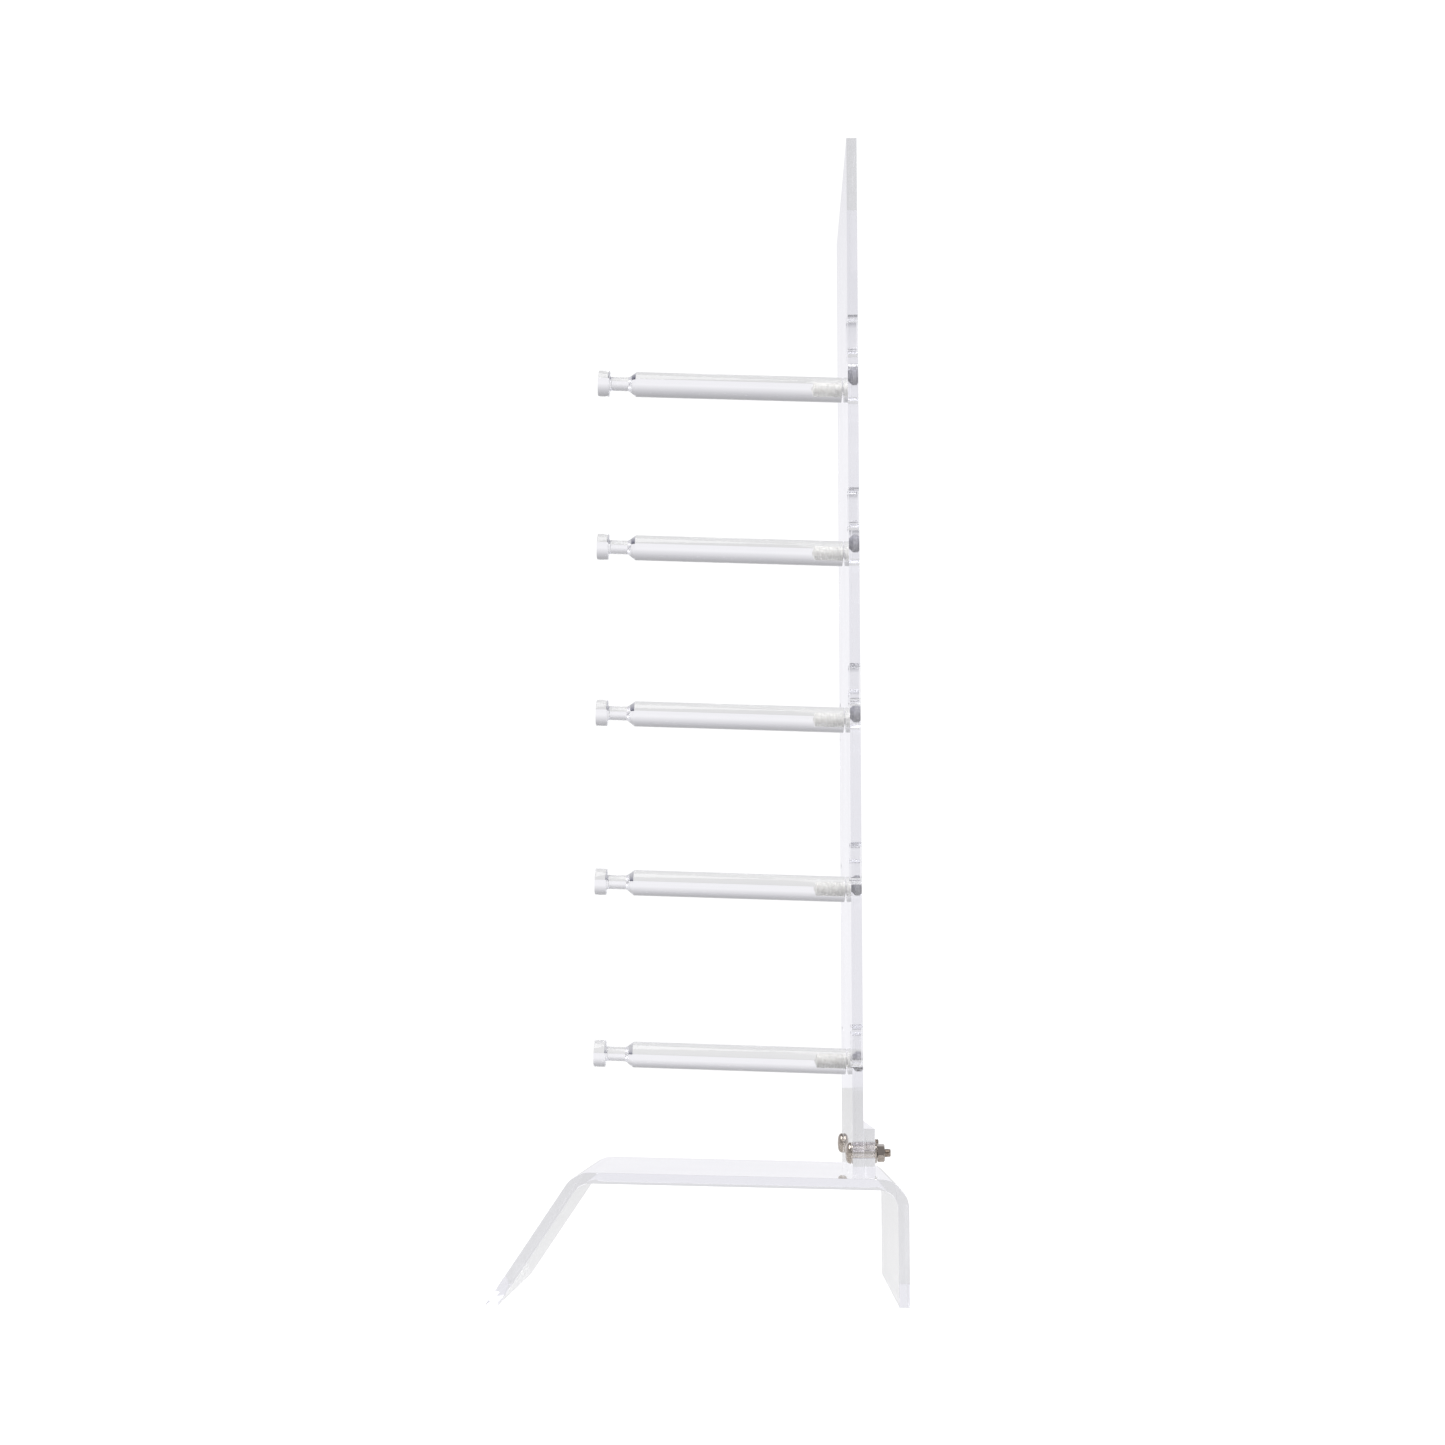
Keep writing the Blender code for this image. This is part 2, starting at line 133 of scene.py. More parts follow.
# --- sheet pieces -----------------------------------------------------------------------
SHEET = 4.7 * MM
EDGE_ROUND = 0.10 * MM
EDGE_SEGMENTS = 2
EDGE_ANGLE = math.radians(40.0)
CRISP_ANGLE = math.radians(12.0)
FACE_ON = 0.95
SIDEWAYS = 0.3
BEND_INNER = 8.0 * MM
BEND_OUTER = BEND_INNER + SHEET
BEND_STEPS = 36
BEND_GUARD = 0.6 * MM
FRONT_LEG_ANGLE = math.radians(56.0)
FRONT_TOE = -158.82 * MM
PLATE_TOP = 54.4 * MM
PLATE_SLOPE = math.radians(1.3)
CONTACT_GAP = 0.05 * MM
SLOT_CENTRE_X = 64.0 * MM
SLOT_WIDTH = 14.0 * MM
SLOT_BOTTOM = -2.0 * MM
SLOT_TOP = 16.6 * MM
SLOT_CORNER = 3.0 * MM
SLOT_CORNER_STEPS = 12
HOLE_SIDES = 64
BOLT_HOLE_RADIUS = 2.12 * MM
SCREW_HOLE_RADIUS = 2.4 * MM
COUNTERSINK_PLAY = 0.3 * MM
DRILLED_REACH = 4.6 * MM
CEMENT_LEG = 0.9 * MM
CEMENT_STEPS = 8

# --- nose rods ----------------------------------------------------------------------------
ROD_SIDES = 96
ROD_RADIUS = 6.0 * MM
ROD_LENGTH = 117.0 * MM
DISC_RADIUS = 6.2 * MM
DISC_LENGTH = 5.5 * MM
NECK_RADIUS = 3.3 * MM
NECK_LENGTH = 9.5 * MM
NECK_FLARE = 3.0 * MM
NECK_FILLET = 0.6 * MM
ROD_EDGE = 0.45 * MM
ROUND_STEPS = 4
SHOULDER_TURN = 0.55 * QUARTER
FILLET_TURN = 1.5 * QUARTER
TAPPED_RADIUS = 2.1 * MM
TAPPED_DEPTH = 15.0 * MM
TAPPED_CONE = 1.3 * MM
TAPPED_MOUTH = 0.4 * MM
TAPPED_FLARE = 0.5 * MM
REAR_CUT = 0.2 * MM

# --- threads, M4 ------------------------------------------------------------------------------
PITCH = 0.7 * MM
THREAD_STEP = PITCH / 8
THREAD_ROOT = 1.62 * MM
THREAD_DEPTH = 0.36 * MM
TAPPED_THREAD_DEPTH = 0.25 * MM
THREAD_SIDES = 48
TIP_LENGTH = 0.5 * MM
TIP_EASE = 0.1 * MM

# --- rod screws ----------------------------------------------------------------------------------
SCREW_REACH = 11.0 * MM
SCREW_HEAD_RADIUS = 3.9 * MM
SCREW_HEAD_CONE = 1.9 * MM
SCREW_HEAD_RIM = 0.3 * MM
SCREW_INSET = 0.35 * MM
SCREW_SLOT_WIDTH = 1.0 * MM
SCREW_SLOT_DEPTH = 1.0 * MM

# --- bolts, washers and nuts -------------------------------------------------------------------------
BOLT_HEAD_RADIUS = 4.7 * MM
BOLT_HEAD_RIM = 0.6 * MM
BOLT_HEAD_FLAT = 1.6 * MM
BOLT_HEAD_STEPS = 12
BOLT_HEAD_EASE = 0.15 * MM
BOLT_PLAIN = 9.6 * MM
CROSS_LENGTH = 3.6 * MM
CROSS_WIDTH = 0.8 * MM
CROSS_DEPTH = 1.3 * MM
CROSS_TAPER = 0.45
WASHER_BORE = 2.35 * MM
WASHER_ROUND = 0.12 * MM
NUT_BORE = 2.05 * MM
NUT_THREAD_DEPTH = 0.2 * MM
NUT_MOUTH_FLARE = 0.45 * MM
NUT_MOUTH_DEPTH = 0.4 * MM
NUT_CHAMFER_ANGLE = math.radians(30.0)
NUT_SIDES = 6
NUT_CORNER = 7.0 * MM / math.sqrt(3.0)
NUT_TURN = math.radians(12.0)


# --- mesh helpers --------------------------------------------------------------------------


def mesh_object(name, bm, materials):
    """Turn a bmesh into a linked object with outward faces."""
    bmesh.ops.recalc_face_normals(bm, faces=bm.faces)
    mesh = bpy.data.meshes.new(name)
    bm.to_mesh(mesh)
    bm.free()
    for material in materials:
        mesh.materials.append(material)
    obj = bpy.data.objects.new(name, mesh)
    bpy.context.scene.collection.objects.link(obj)
    return obj


def prism(name, outline, axis, low, high, materials):
    """Extrude a closed outline along X or Y between two stations."""
    bm = bmesh.new()
    ends = []
    for station in (low, high):
        if axis == "X":
            ends.append([bm.verts.new((station, a, b)) for a, b in outline])
        else:
            ends.append([bm.verts.new((a, station, b)) for a, b in outline])
    bm.faces.new(ends[0])
    bm.faces.new(ends[1])
    count = len(outline)
    for i in range(count):
        j = (i + 1) % count
        bm.faces.new((ends[0][i], ends[0][j], ends[1][j], ends[1][i]))
    return mesh_object(name, bm, materials)


def thread_wave(phase):
    """Triangle wave between 0 and 1."""
    return 1.0 - abs(2.0 * (phase % 1.0) - 1.0)


def revolve(name, profile, sides, materials):
    """Revolve (radius, height, thread depth) points about local Z into a closed mesh.

    A thread depth adds a right-hand helical ridge of the shared pitch to that ring.
    """
    bm = bmesh.new()
    rings = []
    for radius, height, depth in profile:
        if radius == 0.0:
            rings.append([bm.verts.new((0.0, 0.0, height))])
            continue
        ring = []
        for k in range(sides):
            turn = k / sides
            reach = radius + depth * thread_wave(height / PITCH - turn)
            angle = FULL_TURN * turn
            ring.append(bm.verts.new((reach * math.cos(angle), reach * math.sin(angle), height)))
        rings.append(ring)
    pairs = list(zip(rings, rings[1:]))
    if len(rings[0]) > 1:
        pairs.append((rings[-1], rings[0]))
    for lower, upper in pairs:
        for k in range(sides):
            n = (k + 1) % sides
            corners = [lower[k % len(lower)], lower[n % len(lower)]]
            corners += [upper[n % len(upper)], upper[k % len(upper)]]
            bm.faces.new(list(dict.fromkeys(corners)))
    return mesh_object(name, bm, materials)


def apply_modifiers(obj):
    """Replace the mesh by its evaluated result."""
    graph = bpy.context.evaluated_depsgraph_get()
    result = bpy.data.meshes.new_from_object(obj.evaluated_get(graph))
    obj.modifiers.clear()
    obj.data = result


def combine(target, others, operation):
    """Exact boolean of the target with each other object, which is then removed."""
    for other in others:
        mod = target.modifiers.new("cut", "BOOLEAN")
        mod.operation = operation
        mod.solver = "EXACT"
        mod.object = other
    apply_modifiers(target)
    for other in others:
        bpy.data.objects.remove(other, do_unlink=True)


def round_edges(obj, width):
    """Small rounded arris on every sharp edge."""
    mod = obj.modifiers.new("arris", "BEVEL")
    mod.width = width
    mod.segments = EDGE_SEGMENTS
    mod.limit_method = "ANGLE"
    mod.angle_limit = EDGE_ANGLE
    apply_modifiers(obj)


def shade(obj):
    """Smooth curved faces and keep every crisp edge."""
    obj.data.shade_smooth()
    obj.data.set_sharp_from_angle(angle=CRISP_ANGLE)


def arc(centre, radius, start, end, steps):
    """Points on a circular arc, both ends included."""
    points = []
    for k in range(steps + 1):
        angle = start + (end - start) * k / steps
        points.append((centre[0] + radius * math.cos(angle), centre[1] + radius * math.sin(angle)))
    return points


def rounded_rectangle(x0, x1, z0, z1, radius, steps):
    """Outline of a rectangle with rounded corners."""
    points = []
    corners = ((x1 - radius, z1 - radius), (x0 + radius, z1 - radius))
    corners += ((x0 + radius, z0 + radius), (x1 - radius, z0 + radius))
    for k, centre in enumerate(corners):
        points += arc(centre, radius, k * QUARTER, (k + 1) * QUARTER, steps)
    return points


def along(anchor, direction):
    """Matrix that lays local Z along a direction through the anchor."""
    return Matrix.Translation(anchor) @ direction.to_track_quat("Z", "Y").to_matrix().to_4x4()


def threaded(radius, depth, start, end):
    """Profile rows of a threaded stretch, each flank sampled evenly."""
    count = max(1, round(abs(end - start) / THREAD_STEP))
    return [(radius, start + (end - start) * k / count, depth) for k in range(count + 1)]


def paint_faces(obj, chooser):
    """Give each face the material index that the chooser returns for its centre and normal."""
    for face in obj.data.polygons:
        face.material_index = chooser(face.center, face.normal)


def finish_piece(obj, body, node):
    """Stand the piece in for its CAD node and make it ride on the node's body."""
    shade(obj)
    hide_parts(node)
    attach(obj, body)


# --- materials -------------------------------------------------------------------------------


def fill_ramp(node, stops):
    """Set a colour ramp's (position, colour) stops."""
    elements = node.color_ramp.elements
    while len(elements) < len(stops):
        elements.new(0.5)
    for element, (position, color) in zip(elements, stops):
        element.position = position
        element.color = (*color, 1.0)


class Nodes:
    """Short calls for building one material's node tree."""

    def __init__(self, name):
        self.material = bpy.data.materials.new(name)
        self.material.use_nodes = True
        self.tree = self.material.node_tree
        self.shader = self.tree.nodes["Principled BSDF"]
        self.output = self.tree.nodes["Material Output"]
        self.place = self.tree.nodes.new("ShaderNodeTexCoord").outputs["Object"]

    def add(self, kind, **values):
        """New node with its plain input values."""
        node = self.tree.nodes.new(kind)
        for key, value in values.items():
            node.inputs[key.replace("_", " ")].default_value = value
        return node

    def link(self, source, target):
        """Connect two sockets."""
        self.tree.links.new(source, target)

    def stretched(self, scale):
        """Object coordinates scaled per axis."""
        mapping = self.add("ShaderNodeMapping", Scale=scale)
        self.link(self.place, mapping.inputs["Vector"])
        return mapping.outputs["Vector"]

    def noise(self, scale, detail, vector=None):
        """Noise over object coordinates."""
        node = self.add("ShaderNodeTexNoise", Scale=scale, Detail=detail)
        self.link(vector or self.place, node.inputs["Vector"])
        return node.outputs["Fac"]

    def ramp(self, source, stops):
        """Colour ramp with (position, colour) stops."""
        node = self.tree.nodes.new("ShaderNodeValToRGB")
        fill_ramp(node, stops)
        self.link(source, node.inputs["Fac"])
        return node.outputs["Color"]

    def spread(self, source, low, high):
        """Map 0..1 to a range."""
        node = self.tree.nodes.new("ShaderNodeMapRange")
        node.inputs["To Min"].default_value = low
        node.inputs["To Max"].default_value = high
        self.link(source, node.inputs["Value"])
        return node.outputs["Result"]

    def bump(self, height, strength, distance, below=None):
        """Bump from a height socket, stacked on an earlier bump if given."""
        node = self.add("ShaderNodeBump", Strength=strength, Distance=distance)
        self.link(height, node.inputs["Height"])
        if below is not None:
            self.link(below, node.inputs["Normal"])
        return node.outputs["Normal"]

    def pass_lamps(self, tint):
        """Let light from the lamps through the clear body."""
        path = self.tree.nodes.new("ShaderNodeLightPath")
        clear = self.tree.nodes.new("ShaderNodeBsdfTransparent")
        clear.inputs["Color"].default_value = (*tint, 1.0)
        mix = self.tree.nodes.new("ShaderNodeMixShader")
        self.link(path.outputs["Is Shadow Ray"], mix.inputs["Fac"])
        self.link(self.shader.outputs["BSDF"], mix.inputs[1])
        self.link(clear.outputs["BSDF"], mix.inputs[2])
        self.link(mix.outputs["Shader"], self.output.inputs["Surface"])

    def paint_trapped_glow(self):
        """Painted glow: the acrylic emits the room's pale colour once, on rays at the glossy bounce
        limit, in place of the light they would carry out.
        """
        path = self.tree.nodes.new("ShaderNodeLightPath")
        caught = self.add("ShaderNodeMath")
        caught.operation = "COMPARE"
        self.link(path.outputs["Glossy Depth"], caught.inputs[0])
        caught.inputs[1].default_value = TRAPPED_BOUNCES
        caught.inputs[2].default_value = 0.5
        self.shader.inputs["Emission Color"].default_value = (*PAINTED_TRAPPED_GLOW, 1.0)
        self.link(caught.outputs["Value"], self.shader.inputs["Emission Strength"])

    def absorb(self, color, density):
        """Slight body tint that deepens with the length of the light's way."""
        volume = self.tree.nodes.new("ShaderNodeVolumeAbsorption")
        volume.inputs["Color"].default_value = (*color, 1.0)
        volume.inputs["Density"].default_value = density
        self.link(volume.outputs["Volume"], self.output.inputs["Volume"])


def clear_acrylic(name, haze, ripple, grain=0.0, grain_scale=EVEN, ior=ACRYLIC_IOR):
    """Clear acrylic: faint handling haze, long ripple and an optional fine cutting grain."""
    n = Nodes(name)
    n.shader.inputs["Transmission Weight"].default_value = 1.0
    n.shader.inputs["IOR"].default_value = ior
    n.link(n.ramp(n.noise(*CLEAR_GRAIN), CLEAR_SHADES), n.shader.inputs["Base Color"])
    smear = n.noise(*SMEAR_GRAIN, n.stretched(SMEAR_STRETCH))
    n.link(n.spread(smear, *haze), n.shader.inputs["Roughness"])
    normal = n.bump(n.noise(*RIPPLE_GRAIN), ripple, RIPPLE_HEIGHT)
    if grain > 0.0:
        streaks = n.noise(*CUTTING_GRAIN, n.stretched(grain_scale))
        normal = n.bump(streaks, grain, CUTTING_HEIGHT, normal)
    n.link(normal, n.shader.inputs["Normal"])
    # painted glow on rays caught between the faces
    n.paint_trapped_glow()
    n.pass_lamps(LAMP_TINT)
    n.absorb(BODY_TINT, BODY_DENSITY)
    return n.material


def chalky_cut(name, clearness):
    """Tapped acrylic: cream-white crushed surface that still lets some light through."""
    n = Nodes(name)
    n.shader.inputs["Transmission Weight"].default_value = clearness
    n.shader.inputs["IOR"].default_value = ACRYLIC_IOR
    n.link(n.ramp(n.noise(*CHALKY_GRAIN), CHALKY_SHADES), n.shader.inputs["Base Color"])
    n.link(n.spread(n.noise(*CHALKY_SPECKS), *CHALKY_ROUGHNESS), n.shader.inputs["Roughness"])
    crushed = n.bump(n.noise(*CRUSHED_GRAIN), CRUSHED_STRENGTH, CRUSHED_HEIGHT)
    n.link(crushed, n.shader.inputs["Normal"])
    n.pass_lamps(LAMP_TINT)
    n.absorb(BODY_TINT, BODY_DENSITY)
    return n.material


def nickel(name, stops):
    """Nickel plate: warm grey metal with faint clouding, rolling marks and fine pits."""
    n = Nodes(name)
    n.shader.inputs["Metallic"].default_value = 1.0
    n.link(n.ramp(n.noise(*NICKEL_GRAIN), stops), n.shader.inputs["Base Color"])
    marks = n.noise(*ROLLING_GRAIN, n.stretched(ROLLING_STRETCH))
    n.link(n.spread(marks, *NICKEL_ROUGHNESS), n.shader.inputs["Roughness"])
    n.link(n.bump(n.noise(*PIT_GRAIN), PIT_STRENGTH, PIT_HEIGHT), n.shader.inputs["Normal"])
    return n.material


def pale_floor():
    """Matt sweep, white to the camera and pale grey to every other ray, barely uneven."""
    n = Nodes("pale_floor")
    n.link(n.ramp(n.noise(*FLOOR_GRAIN), FLOOR_SHADES), n.shader.inputs["Base Color"])
    n.shader.inputs["Roughness"].default_value = FLOOR_ROUGHNESS
    n.shader.inputs["Specular IOR Level"].default_value = FLOOR_SHEEN
    n.shader.inputs["Emission Color"].default_value = (*WHITE, 1.0)
    path = n.tree.nodes.new("ShaderNodeLightPath")
    n.link(n.spread(path.outputs["Is Camera Ray"], *FLOOR_GLOW), n.shader.inputs["Emission Strength"])
    return n.material


FACE = clear_acrylic("acrylic_face", haze=(0.0, 0.015), ripple=0.02)
CUT_EDGE = clear_acrylic("acrylic_cut_edge", (0.02, 0.06), 0.02, grain=0.06, grain_scale=EDGE_STRETCH)
DRILLED = clear_acrylic("acrylic_drilled", haze=(0.0, 0.01), ripple=0.0, ior=BOLT_HOLE_IOR)
ROD = clear_acrylic("acrylic_rod", haze=(0.0, 0.02), ripple=0.004)
TURNED = clear_acrylic("acrylic_turned", (0.14, 0.26), 0.01, grain=0.4, grain_scale=TURNED_STRETCH)
FROSTED = chalky_cut("acrylic_tapped", clearness=0.25)
MOULDED = chalky_cut("clear_moulded", clearness=0.75)
NICKEL = nickel("nickel", NICKEL_SHADES)
# lighter copy of the nickel: painted highlight on the bolt shanks
LIT_SHANK = nickel("nickel_shank_lit", SHANK_LIT_SHADES)
SHEET_LOOKS = [FACE, CUT_EDGE, DRILLED, FROSTED]


# --- placement read from the frame ------------------------------------------------------------

JOINTS = {joint["name"]: joint for joint in frame["joints"]}
BASE_LOW, BASE_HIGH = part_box("base")
TAB_LOW, TAB_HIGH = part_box("mounting_tab")
PANEL_LOW, PANEL_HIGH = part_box("back_panel")
ROD_NAMES = sorted(name for name in frame["nodes"] if name.startswith("nose_rod_"))
SIDES = ("left", "right")


def rod_line(index):
    """Anchor on the panel's front face and the direction of one rod."""
    anchor = Vector(JOINTS[f"screw_{index}_turn"]["pos_m"])
    direction = Vector(JOINTS[f"rod_{index}_unthread"]["axis"]).normalized()
    return anchor, direction


def bolt_anchor(label):
    """Point where one bolt's axis meets the panel's front face."""
    return Vector(JOINTS[f"bolt_{label}_turn"]["pos_m"])


# --- sheet pieces -----------------------------------------------------------------------------


def plate_height(y):
    """Height of the plate's upper face, which falls slightly towards the back."""
    return PLATE_TOP - (y - PANEL_LOW.y) * math.tan(PLATE_SLOPE)


def bend_centres():
    """Centres of the front and back bends in the YZ plane."""
    face = PANEL_LOW.y
    sine, cosine = math.sin(PLATE_SLOPE), math.cos(PLATE_SLOPE)
    leg_sine, leg_cosine = math.sin(FRONT_LEG_ANGLE), math.cos(FRONT_LEG_ANGLE)
    plate_side = PLATE_TOP * cosine - BEND_OUTER
    leg_side = -FRONT_TOE * leg_sine - BEND_OUTER
    spread = sine * leg_cosine + cosine * leg_sine
    front_y = face + (plate_side * leg_cosine - leg_side * cosine) / spread
    front_z = (plate_side * leg_sine + leg_side * sine) / spread
    back_y = BASE_HIGH.y - BEND_OUTER
    return (front_y, front_z), (back_y, plate_height(back_y) - BEND_OUTER / cosine)


def guarded_arc(centre, radius, start, end):
    """A bend with a narrow flat guard strip on its tangent at each end."""
    sweep = arc(centre, radius, start, end, BEND_STEPS)
    step = BEND_GUARD if end > start else -BEND_GUARD
    (first_y, first_z), (last_y, last_z) = sweep[0], sweep[-1]
    lead = (first_y + step * math.sin(start), first_z - step * math.cos(start))
    trail = (last_y - step * math.sin(end), last_z + step * math.cos(end))
    return [lead] + sweep + [trail]


def base_outline():
    """YZ outline of the bent sheet, walked round the outside and back along the inside."""
    front, rear = bend_centres()
    toe = PANEL_LOW.y + FRONT_TOE
    back = BASE_HIGH.y
    start = QUARTER + FRONT_LEG_ANGLE
    top = QUARTER - PLATE_SLOPE
    points = [(toe, 0.0)]
    points += guarded_arc(front, BEND_OUTER, start, top)
    points += guarded_arc(rear, BEND_OUTER, top, 0.0)
    points += [(back, 0.0), (back - SHEET, 0.0)]
    points += guarded_arc(rear, BEND_INNER, 0.0, top)
    points += guarded_arc(front, BEND_INNER, top, start)
    points.append((toe + SHEET / math.sin(FRONT_LEG_ANGLE), 0.0))
    return points


def build_base():
    """Bent sheet with polished faces and fine-cut edges."""
    base = prism("bent_base", base_outline(), "X", BASE_LOW.x, BASE_HIGH.x, [FACE, CUT_EDGE])
    round_edges(base, EDGE_ROUND)
    paint_faces(base, lambda at, normal: 1 if abs(normal.x) > SIDEWAYS or at.z < EDGE_ROUND else 0)
    finish_piece(base, "rack", "base")


def hole_cutters(low, high):
    """Cylinders at both bolt positions."""
    cutters = []
    for label in SIDES:
        anchor = bolt_anchor(label)
        outline = arc((anchor.x, anchor.z), BOLT_HOLE_RADIUS, 0.0, FULL_TURN, HOLE_SIDES)[:-1]
        cutters.append(prism("cutter", outline, "Y", low - MM, high + MM, []))
    return cutters


def near(at, anchors):
    """True within reach of any of the axes."""
    return any(math.hypot(at.x - a.x, at.z - a.z) < DRILLED_REACH for a in anchors)


def sheet_material(at, normal):
    """Index in SHEET_LOOKS of a face: sheet face, cut edge, bolt hole or screw hole."""
    if abs(normal.y) > FACE_ON:
        return 0
    if near(at, [bolt_anchor(label) for label in SIDES]):
        return 2
    if near(at, [rod_line(i + 1)[0] for i in range(len(ROD_NAMES))]):
        return 3
    return 1


def build_tab():
    """Upright strip behind the panel's foot, with the cement bead along its back."""
    bottom = plate_height(TAB_LOW.y) + CONTACT_GAP
    outline = [(TAB_LOW.x, bottom), (TAB_HIGH.x, bottom)]
    outline += [(TAB_HIGH.x, TAB_HIGH.z), (TAB_LOW.x, TAB_HIGH.z)]
    front = PANEL_HIGH.y + CONTACT_GAP
    tab = prism("tab_strip", outline, "Y", front, TAB_HIGH.y, [FACE, CUT_EDGE, DRILLED])
    combine(tab, hole_cutters(front, TAB_HIGH.y), "DIFFERENCE")
    round_edges(tab, EDGE_ROUND)
    paint_faces(tab, sheet_material)
    finish_piece(tab, "rack", "mounting_tab")
    back = TAB_HIGH.y + CONTACT_GAP
    hollow = arc((back + CEMENT_LEG, bottom + CEMENT_LEG), CEMENT_LEG, math.pi, 3 * QUARTER, CEMENT_STEPS)
    bead = prism("tab_cement", [(back, bottom)] + hollow[::-1], "X", TAB_LOW.x, TAB_HIGH.x, [MOULDED])
    shade(bead)
    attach(bead, "rack")


def screw_depths(tilt_cosine):
    """Distances along a rod's axis of a screw's head face and of its cone's end."""
    head_face = -(SHEET - SCREW_INSET) / tilt_cosine
    return head_face, head_face + SCREW_HEAD_RIM + SCREW_HEAD_CONE


def build_panel():
    """Back panel with temple slots, countersunk screw holes and bolt holes."""
    bottom = PLATE_TOP + CONTACT_GAP
    outline = [(PANEL_LOW.x, bottom), (PANEL_HIGH.x, bottom)]
    outline += [(PANEL_HIGH.x, PANEL_HIGH.z), (PANEL_LOW.x, PANEL_HIGH.z)]
    panel = prism("slotted_panel", outline, "Y", PANEL_LOW.y, PANEL_HIGH.y, SHEET_LOOKS)
    cutters = hole_cutters(PANEL_LOW.y, PANEL_HIGH.y)
    for index in range(1, len(ROD_NAMES) + 1):
        anchor, direction = rod_line(index)
        for side in (-1, 1):
            middle = side * SLOT_CENTRE_X
            across = (middle - SLOT_WIDTH / 2, middle + SLOT_WIDTH / 2)
            up = (anchor.z + SLOT_BOTTOM, anchor.z + SLOT_TOP)
            slot = rounded_rectangle(*across, *up, SLOT_CORNER, SLOT_CORNER_STEPS)
            cutters.append(prism("cutter", slot, "Y", PANEL_LOW.y - MM, PANEL_HIGH.y + MM, []))
        head_face, cone_end = screw_depths(-direction.y)
        wide = SCREW_HEAD_RADIUS + COUNTERSINK_PLAY
        cone_start = head_face + SCREW_HEAD_RIM + COUNTERSINK_PLAY
        profile = [(0.0, head_face - SHEET, 0.0), (wide, head_face - SHEET, 0.0)]
        profile += [(wide, cone_start, 0.0), (SCREW_HOLE_RADIUS, cone_end + COUNTERSINK_PLAY, 0.0)]
        profile += [(SCREW_HOLE_RADIUS, SHEET, 0.0), (0.0, SHEET, 0.0)]
        cutter = revolve("cutter", profile, HOLE_SIDES, [])
        cutter.data.transform(along(anchor, direction))
        cutters.append(cutter)
    combine(panel, cutters, "DIFFERENCE")
    round_edges(panel, EDGE_ROUND)
    paint_faces(panel, sheet_material)
    finish_piece(panel, "rack", "back_panel")


# --- rods and their screws ----------------------------------------------------------------------


def rounded_corner(radius, height, size, from_angle, to_angle, centre_sign):
    """Profile rows of a small rounded corner whose outermost ring has the given radius."""
    centre = (radius - size, height + centre_sign * size)
    return [(r, z, 0.0) for r, z in arc(centre, size, from_angle, to_angle, ROUND_STEPS)]


def rod_profile(rear, tilt):
    """Half-section of a nose rod from its tapped rear hole round to the front disc."""
    end = CAD_GAP + ROD_RADIUS * math.tan(tilt) + ROD_LENGTH
    disc = end - DISC_LENGTH
    neck = disc - NECK_LENGTH
    bottom = rear + TAPPED_DEPTH - TAPPED_CONE
    mouth = rear + TAPPED_MOUTH
    groove_root = NECK_RADIUS + NECK_FILLET
    rows = [(0.0, rear + TAPPED_DEPTH, 0.0)]
    rows += threaded(TAPPED_RADIUS, TAPPED_THREAD_DEPTH, bottom, mouth)
    rows.append((TAPPED_RADIUS + TAPPED_FLARE, rear, 0.0))
    rows += rounded_corner(ROD_RADIUS, rear, ROD_EDGE, -QUARTER, 0.0, 1)
    rows += rounded_corner(ROD_RADIUS, neck - NECK_FLARE, ROD_EDGE, 0.0, SHOULDER_TURN, -1)
    rows.append((groove_root, neck - NECK_FILLET, 0.0))
    rear_fillet = (groove_root, neck + NECK_FILLET)
    front_fillet = (groove_root, disc - NECK_FILLET)
    fillets = arc(rear_fillet, NECK_FILLET, -FILLET_TURN, -math.pi, ROUND_STEPS)
    fillets += arc(front_fillet, NECK_FILLET, math.pi, QUARTER, ROUND_STEPS)
    rows += [(r, z, 0.0) for r, z in fillets]
    rows += rounded_corner(DISC_RADIUS, disc, ROD_EDGE, -QUARTER, 0.0, 1)
    rows += rounded_corner(DISC_RADIUS, end, ROD_EDGE, 0.0, QUARTER, -1)
    rows.append((0.0, end, 0.0))
    return rows, neck, disc


def build_rod(index):
    """One nose rod, polished along the shank, turned at the groove, frosted in its tapped hole."""
    anchor, direction = rod_line(index)
    tilt = math.atan2(direction.z, -direction.y)
    rear = CONTACT_GAP + ROD_RADIUS * math.tan(tilt)
    rows, neck, disc = rod_profile(rear, tilt)
    rod = revolve(f"turned_rod_{index}", rows, ROD_SIDES, [ROD, TURNED, FROSTED])

    def choose(at, normal):
        radius = math.hypot(at.x, at.y)
        if radius < TAPPED_RADIUS + TAPPED_MOUTH and at.z < rear + TAPPED_DEPTH + MM:
            return 2
        turned = neck - NECK_FLARE < at.z < disc + ROD_EDGE or at.z < rear + REAR_CUT
        return 1 if turned else 0

    paint_faces(rod, choose)
    rod.matrix_world = along(anchor, direction)
    finish_piece(rod, f"nose_rod_{index}", f"nose_rod_{index}")


